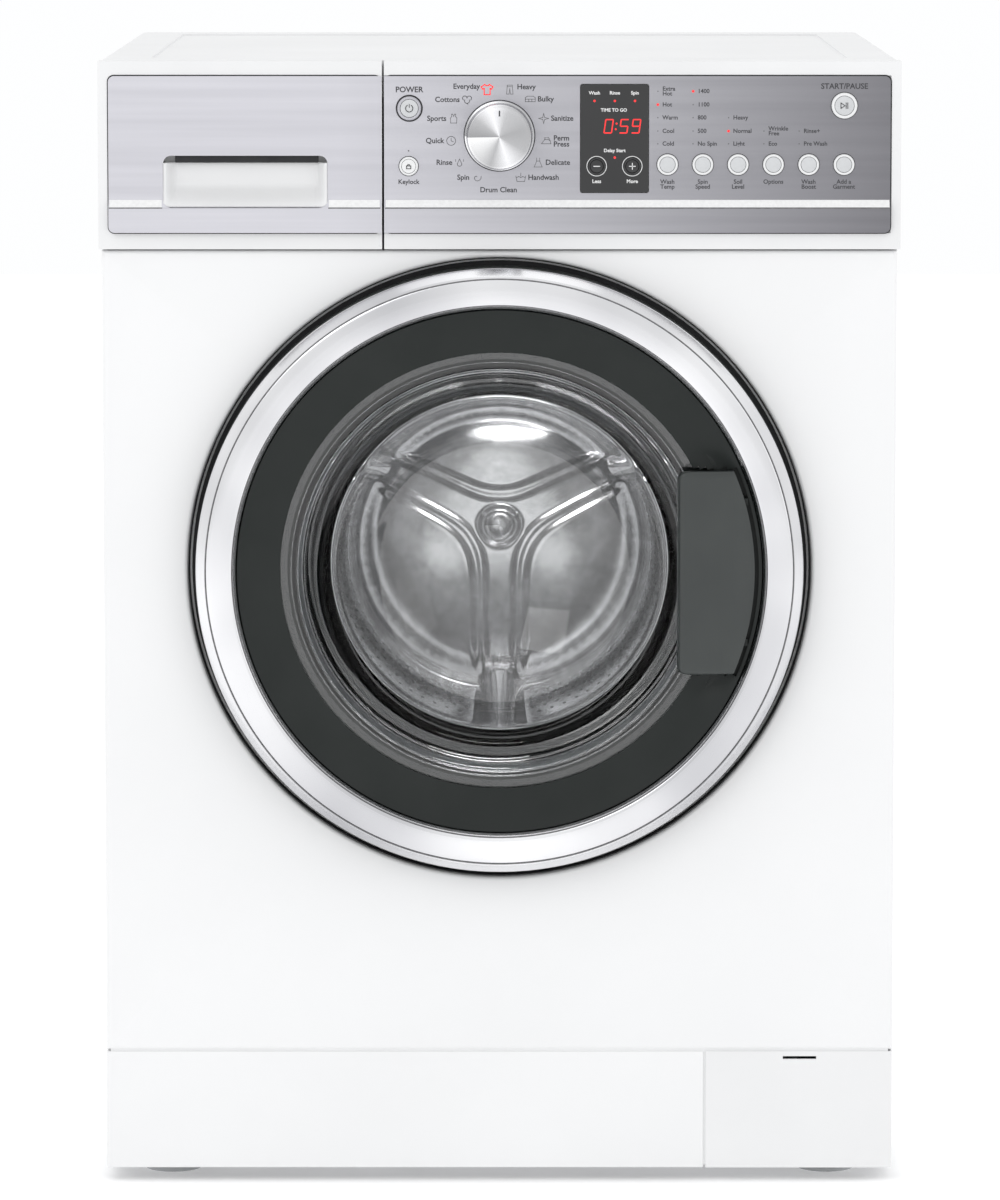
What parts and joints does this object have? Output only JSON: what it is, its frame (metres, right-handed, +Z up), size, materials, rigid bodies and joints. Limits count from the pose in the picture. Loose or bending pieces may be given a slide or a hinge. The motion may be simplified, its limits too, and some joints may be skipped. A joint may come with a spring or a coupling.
{
  "type": "front load washing machine",
  "caption": "Front load washing machine with a round glass door, steel drum, detergent drawer, programme knob and push buttons.",
  "frame": {"origin": "floor under the middle of the machine", "axes": "+Z up, the door faces -Y, +X to the right as seen from the front"},
  "size_m": [0.6, 0.644, 0.85],
  "materials": {
    "white_enamel": "gloss",
    "white_plastic": "satin",
    "silver_skin": "satin",
    "turned_aluminium": "brushed",
    "chrome": "polished",
    "dark_plastic": "satin",
    "black_window": "gloss",
    "clear_glass": "polished",
    "stainless": "satin",
    "cast_alloy": "as cast",
    "zinc_steel": "satin",
    "grey_rubber": "matt",
    "tub_plastic": "matt",
    "tray_plastic": "satin",
    "concrete": "matt",
    "copper_winding": "gloss",
    "circuit_board": "satin"
  },
  "bodies": {
    "cabinet": {"side_panel_left": "white_enamel", "side_panel_right": "white_enamel", "rear_panel": "zinc_steel", "rear_cover": "zinc_steel", "worktop": "white_plastic", "front_panel": "white_enamel", "base_tray": "zinc_steel", "kick_panel": "white_plastic", "top_rails": "zinc_steel", "console_housing": "white_plastic", "console_fascia": "silver_skin", "display_window": "black_window", "control_board": "circuit_board", "dispenser_housing": "tub_plastic", "inlet_valve": "tray_plastic", "drain_pump": "tub_plastic", "drain_hose": "grey_rubber", "door_lock": "tub_plastic", "hinge_bracket": "zinc_steel", "damper_cylinders": "dark_plastic", "suspension_springs": "zinc_steel", "door_seal": "grey_rubber", "sump_hose": "grey_rubber", "fill_hose": "grey_rubber"},
    "filter_flap": {"filter_flap": "white_plastic"},
    "pump_filter": {"pump_filter": "tray_plastic"},
    "levelling_feet": {"levelling_feet": "dark_plastic"},
    "program_knob": {"program_knob": "turned_aluminium"},
    "drawer": {"drawer_front": "white_plastic", "drawer_tray": "tray_plastic"},
    "tub": {"tub_front": "tub_plastic", "tub_rear": "tub_plastic", "counterweights": "concrete", "heater": "stainless", "stator": "copper_winding", "bearings": "zinc_steel", "damper_rods": "zinc_steel"},
    "drum": {"drum_shell": "stainless", "drum_back": "stainless", "lifters": "stainless", "drum_spider": "cast_alloy", "rotor": "zinc_steel"},
    "door": {"door_frame": "dark_plastic", "door_chrome_ring": "chrome", "door_inner_ring": "dark_plastic", "door_glass": "clear_glass", "hinge_arm": "cast_alloy"},
    "door_handle": {"door_handle": "dark_plastic"},
    "latch_hook": {"latch_hook": "zinc_steel"},
    "power_button": {"power_button": "silver_skin"},
    "keylock_button": {"keylock_button": "silver_skin"},
    "wash_temp_button": {"wash_temp_button": "silver_skin"},
    "spin_speed_button": {"spin_speed_button": "silver_skin"},
    "soil_level_button": {"soil_level_button": "silver_skin"},
    "options_button": {"options_button": "silver_skin"},
    "wash_boost_button": {"wash_boost_button": "silver_skin"},
    "add_garment_button": {"add_garment_button": "silver_skin"},
    "start_button": {"start_button": "silver_skin"},
    "delay_less_button": {"delay_less_button": "dark_plastic"},
    "delay_more_button": {"delay_more_button": "dark_plastic"}
  },
  "joints": [
    {"name": "door_swing", "type": "hinge", "parent": "cabinet", "child": "door", "pos_m": [-0.215, -0.3, 0.4685], "axis": [0, 0, -1], "range_deg": [0, 115]},
    {"name": "handle_pull", "type": "hinge", "parent": "door", "child": "door_handle", "pos_m": [0.182, -0.309, 0.4685], "axis": [0, 0, 1], "range_deg": [0, 11], "stiffness_Nm_per_rad": 2},
    {"name": "hook_release", "type": "hinge", "parent": "door", "child": "latch_hook", "pos_m": [0.206, -0.292, 0.4685], "axis": [0, 0, 1], "range_deg": [0, 6.6]},
    {"name": "drawer_slide", "type": "slide", "parent": "cabinet", "child": "drawer", "axis": [0, -1, 0], "range_m": [0, 0.165]},
    {"name": "knob_turn", "type": "hinge", "parent": "cabinet", "child": "program_knob", "pos_m": [0, -0.3, 0.7945], "axis": [0, 1, 0], "continuous": true},
    {"name": "flap_open", "type": "hinge", "parent": "cabinet", "child": "filter_flap", "pos_m": [0.227, -0.286, 0.016], "axis": [1, 0, 0], "range_deg": [0, 90]},
    {"name": "filter_turn", "type": "hinge", "parent": "cabinet", "child": "pump_filter", "pos_m": [0.2, -0.26, 0.056], "axis": [0, -1, 0], "range_deg": [0, 120]},
    {"name": "feet_level", "type": "slide", "parent": "cabinet", "child": "levelling_feet", "axis": [0, 0, -1], "range_m": [0, 0.015]},
    {"name": "tub_bounce", "type": "slide", "parent": "cabinet", "child": "tub", "axis": [0, 0, 1], "range_m": [-0.008, 0.008], "stiffness_N_per_m": 16000, "springref_m": 0.02507, "deforming": ["suspension_springs", "door_seal", "sump_hose", "fill_hose"]},
    {"name": "drum_spin", "type": "hinge", "parent": "tub", "child": "drum", "pos_m": [0, 0, 0.4685], "axis": [0, 1, 0], "continuous": true},
    {"name": "power_press", "type": "slide", "parent": "cabinet", "child": "power_button", "axis": [0, 1, 0], "range_m": [0, 0.0012], "stiffness_N_per_m": 800},
    {"name": "keylock_press", "type": "slide", "parent": "cabinet", "child": "keylock_button", "axis": [0, 1, 0], "range_m": [0, 0.0012], "stiffness_N_per_m": 800},
    {"name": "wash_temp_press", "type": "slide", "parent": "cabinet", "child": "wash_temp_button", "axis": [0, 1, 0], "range_m": [0, 0.0012], "stiffness_N_per_m": 800},
    {"name": "spin_speed_press", "type": "slide", "parent": "cabinet", "child": "spin_speed_button", "axis": [0, 1, 0], "range_m": [0, 0.0012], "stiffness_N_per_m": 800},
    {"name": "soil_level_press", "type": "slide", "parent": "cabinet", "child": "soil_level_button", "axis": [0, 1, 0], "range_m": [0, 0.0012], "stiffness_N_per_m": 800},
    {"name": "options_press", "type": "slide", "parent": "cabinet", "child": "options_button", "axis": [0, 1, 0], "range_m": [0, 0.0012], "stiffness_N_per_m": 800},
    {"name": "wash_boost_press", "type": "slide", "parent": "cabinet", "child": "wash_boost_button", "axis": [0, 1, 0], "range_m": [0, 0.0012], "stiffness_N_per_m": 800},
    {"name": "add_garment_press", "type": "slide", "parent": "cabinet", "child": "add_garment_button", "axis": [0, 1, 0], "range_m": [0, 0.0012], "stiffness_N_per_m": 800},
    {"name": "start_press", "type": "slide", "parent": "cabinet", "child": "start_button", "axis": [0, 1, 0], "range_m": [0, 0.0012], "stiffness_N_per_m": 800},
    {"name": "delay_less_press", "type": "slide", "parent": "cabinet", "child": "delay_less_button", "axis": [0, 1, 0], "range_m": [0, 0.0012], "stiffness_N_per_m": 800},
    {"name": "delay_more_press", "type": "slide", "parent": "cabinet", "child": "delay_more_button", "axis": [0, 1, 0], "range_m": [0, 0.0012], "stiffness_N_per_m": 800}
  ],
  "couplings": [
    {"joint": "hook_release", "follows": "handle_pull", "ratio": 0.6}
  ]
}
